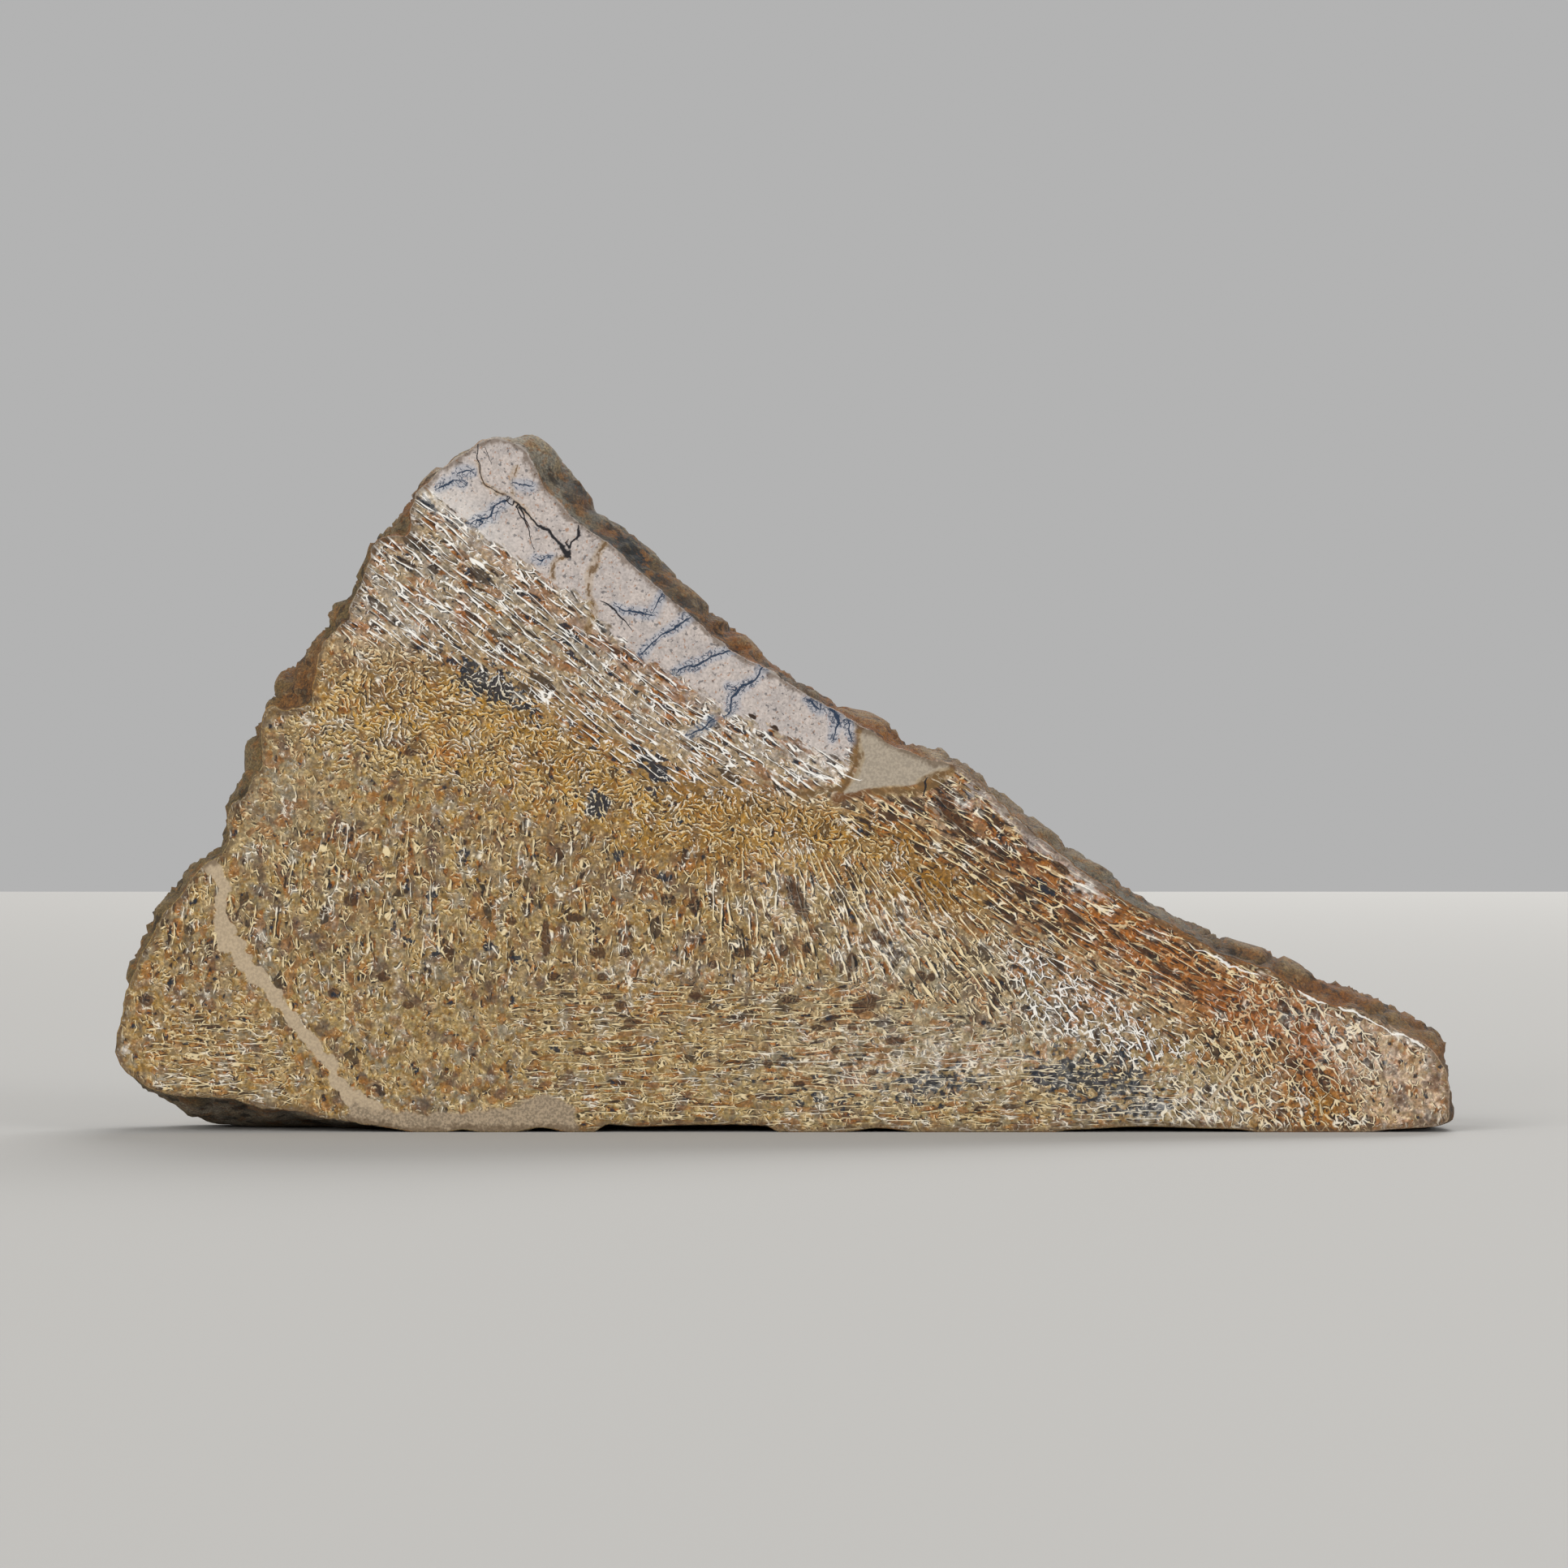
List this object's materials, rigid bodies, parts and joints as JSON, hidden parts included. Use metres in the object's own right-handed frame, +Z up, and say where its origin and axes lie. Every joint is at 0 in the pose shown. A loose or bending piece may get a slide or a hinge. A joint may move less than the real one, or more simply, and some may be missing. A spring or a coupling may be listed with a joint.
{
  "type": "polished dinosaur bone slab",
  "caption": "Slab of fossil dinosaur bone with a polished sawn face, rough natural sides, a sawn back and a flat sawn base that it stands on.",
  "frame": {"origin": "on the base, in the middle of the length and of the depth", "axes": "+X along the base to the low blunt end, +Y away from the polished face, +Z up"},
  "size_m": [0.1656, 0.02, 0.0864],
  "materials": {
    "fossil_bone": "fossil bone, agatised and cut: cream walls of spongy bone round tan, brown and grey-blue fillings, polished on the front face and rough on the sides"
  },
  "bodies": {
    "root": {"bone_slab": "fossil_bone"}
  },
  "joints": []
}
